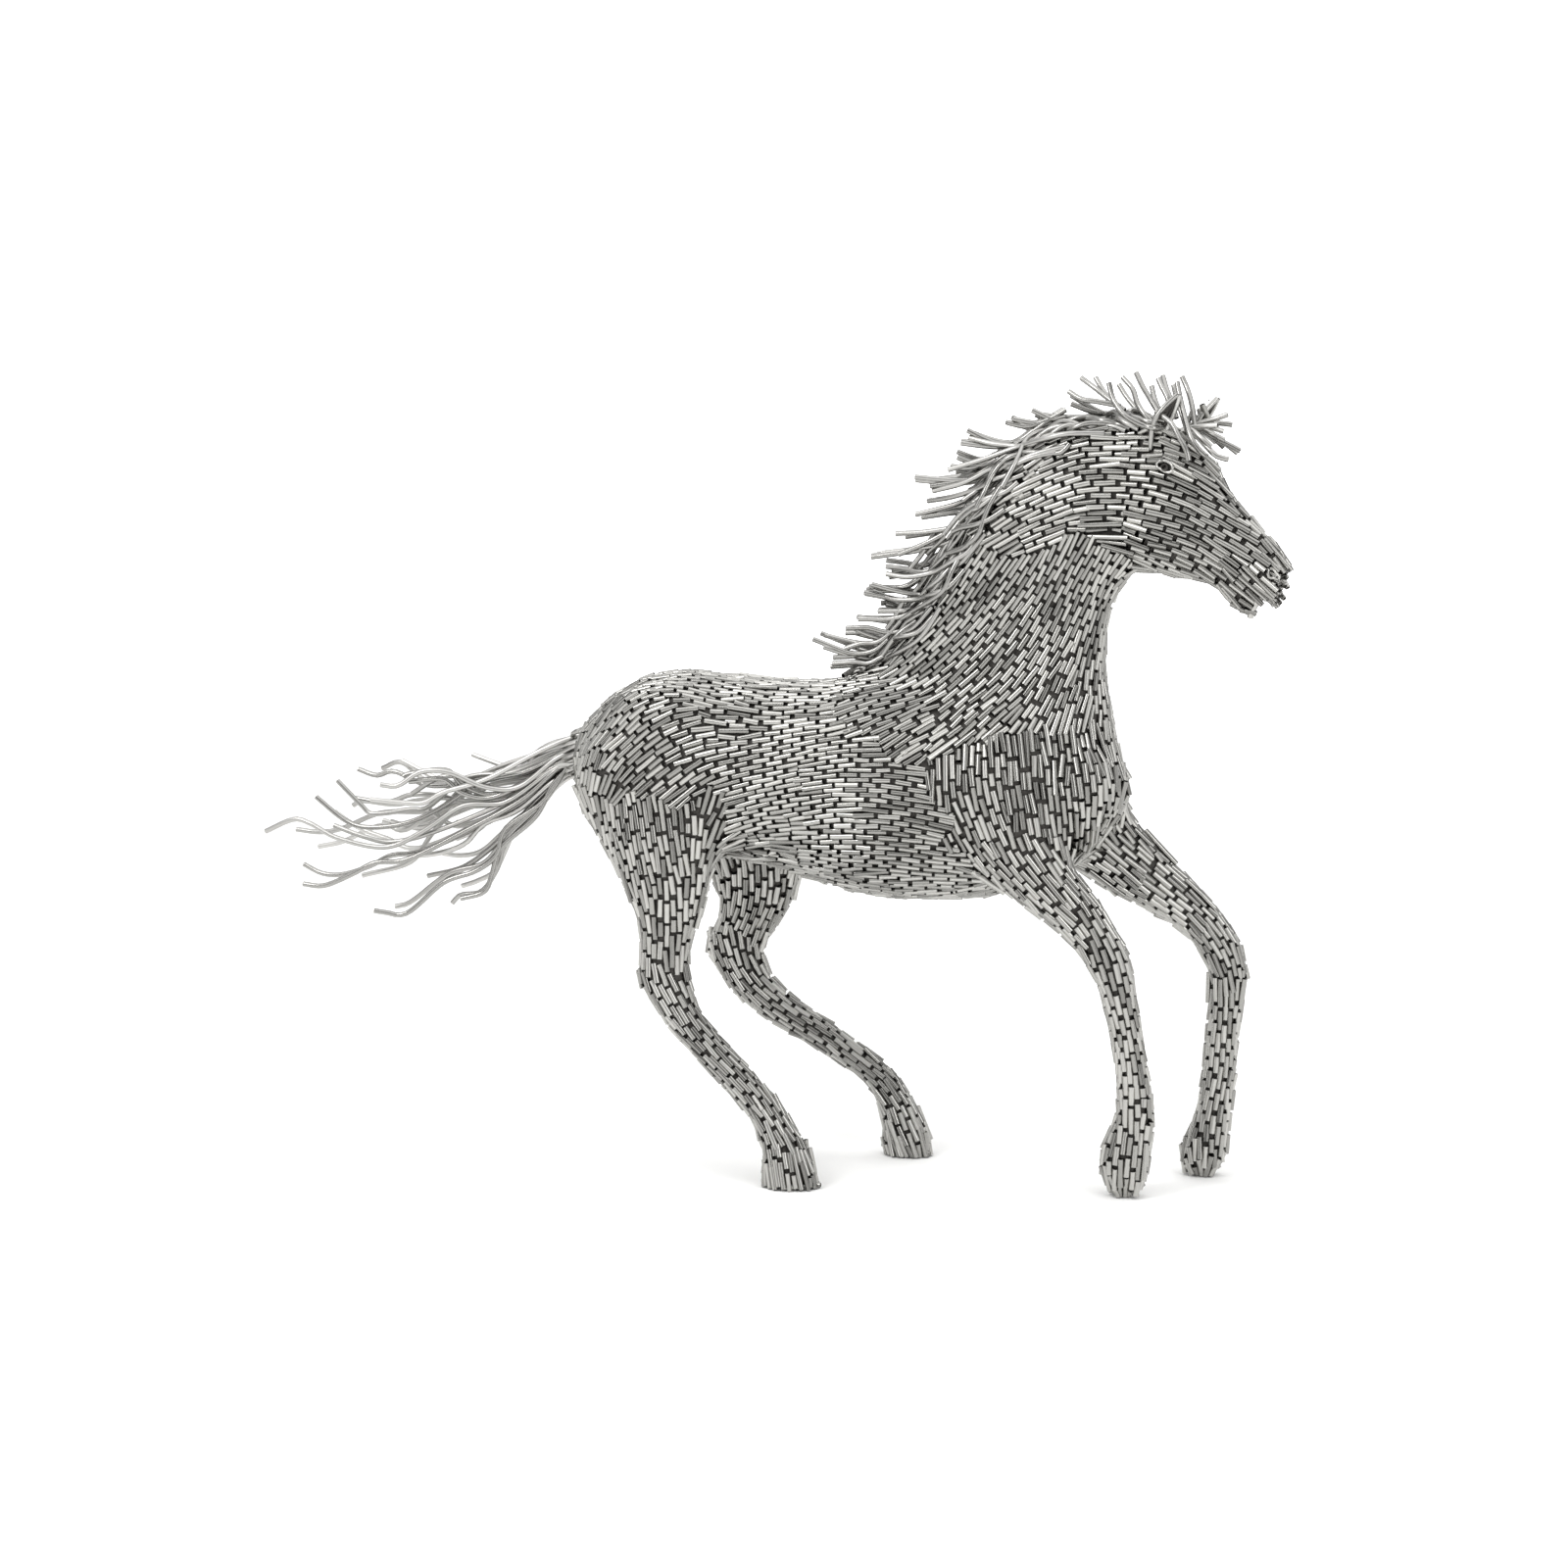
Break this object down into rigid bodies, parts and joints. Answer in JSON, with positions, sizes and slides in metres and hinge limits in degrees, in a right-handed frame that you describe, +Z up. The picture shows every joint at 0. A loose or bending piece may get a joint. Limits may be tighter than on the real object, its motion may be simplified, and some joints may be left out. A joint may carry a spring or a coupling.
{
  "type": "pipe horse sculpture",
  "caption": "Cantering horse sculpture of short welded steel pipes, with a mane, forelock and tail of longer bent pipes, standing on its four hooves.",
  "frame": {"origin": "on the ground, below the middle of the whole horse with its tail and hair", "axes": "+X towards the head, +Y to the horse's left, +Z up"},
  "size_m": [2.6572, 0.5446, 2.0122],
  "materials": {
    "skin_pipes": "satin, short pipes with dark gaps between their ends",
    "hair_pipes": "satin, bent pipe"
  },
  "bodies": {
    "root": {"horse_body": "skin_pipes", "mane_pipe_01": "hair_pipes", "mane_pipe_02": "hair_pipes", "mane_pipe_03": "hair_pipes", "mane_pipe_04": "hair_pipes", "mane_pipe_05": "hair_pipes", "mane_pipe_06": "hair_pipes", "mane_pipe_07": "hair_pipes", "mane_pipe_08": "hair_pipes", "mane_pipe_09": "hair_pipes", "mane_pipe_10": "hair_pipes", "mane_pipe_11": "hair_pipes", "mane_pipe_12": "hair_pipes", "mane_pipe_13": "hair_pipes", "mane_pipe_14": "hair_pipes", "mane_pipe_15": "hair_pipes", "mane_pipe_16": "hair_pipes", "mane_pipe_17": "hair_pipes", "mane_pipe_18": "hair_pipes", "mane_pipe_19": "hair_pipes", "mane_pipe_20": "hair_pipes", "mane_pipe_21": "hair_pipes", "mane_pipe_22": "hair_pipes", "mane_pipe_23": "hair_pipes", "mane_pipe_24": "hair_pipes", "mane_pipe_25": "hair_pipes", "mane_pipe_26": "hair_pipes", "mane_pipe_27": "hair_pipes", "mane_pipe_28": "hair_pipes", "mane_pipe_29": "hair_pipes", "mane_pipe_30": "hair_pipes", "mane_pipe_31": "hair_pipes", "mane_pipe_32": "hair_pipes", "mane_pipe_33": "hair_pipes", "mane_pipe_34": "hair_pipes", "mane_pipe_35": "hair_pipes", "mane_pipe_36": "hair_pipes", "forelock_pipe_1": "hair_pipes", "forelock_pipe_2": "hair_pipes", "forelock_pipe_3": "hair_pipes", "forelock_pipe_4": "hair_pipes", "forelock_pipe_5": "hair_pipes", "forelock_pipe_6": "hair_pipes", "tail_pipe_01": "hair_pipes", "tail_pipe_02": "hair_pipes", "tail_pipe_03": "hair_pipes", "tail_pipe_04": "hair_pipes", "tail_pipe_05": "hair_pipes", "tail_pipe_06": "hair_pipes", "tail_pipe_07": "hair_pipes", "tail_pipe_08": "hair_pipes", "tail_pipe_09": "hair_pipes", "tail_pipe_10": "hair_pipes", "tail_pipe_11": "hair_pipes", "tail_pipe_12": "hair_pipes", "tail_pipe_13": "hair_pipes"}
  },
  "joints": []
}
